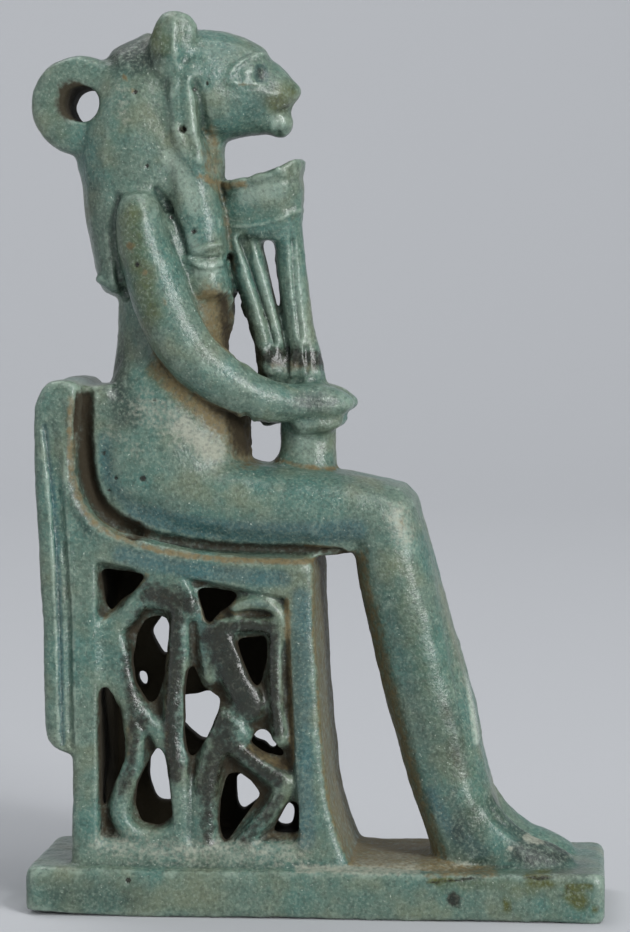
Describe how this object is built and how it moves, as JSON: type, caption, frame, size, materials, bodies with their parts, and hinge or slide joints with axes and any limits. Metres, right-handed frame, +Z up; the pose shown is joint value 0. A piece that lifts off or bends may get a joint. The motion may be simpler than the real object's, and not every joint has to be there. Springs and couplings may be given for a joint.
{
  "type": "cat-headed goddess figurine on a throne",
  "caption": "Small glazed figurine of a cat-headed goddess who sits on a pierced throne and holds a sceptre, with a suspension loop behind her head.",
  "frame": {"origin": "middle of the underside of the base", "axes": "+X the way the figure faces, +Y to the figure's left, +Z up"},
  "size_m": [0.0451, 0.0154, 0.0705],
  "materials": {
    "faience": "softly glossy blue-green alkaline glaze over a quartz body, worn and speckled"
  },
  "bodies": {
    "root": {"figurine": "faience"}
  },
  "joints": []
}
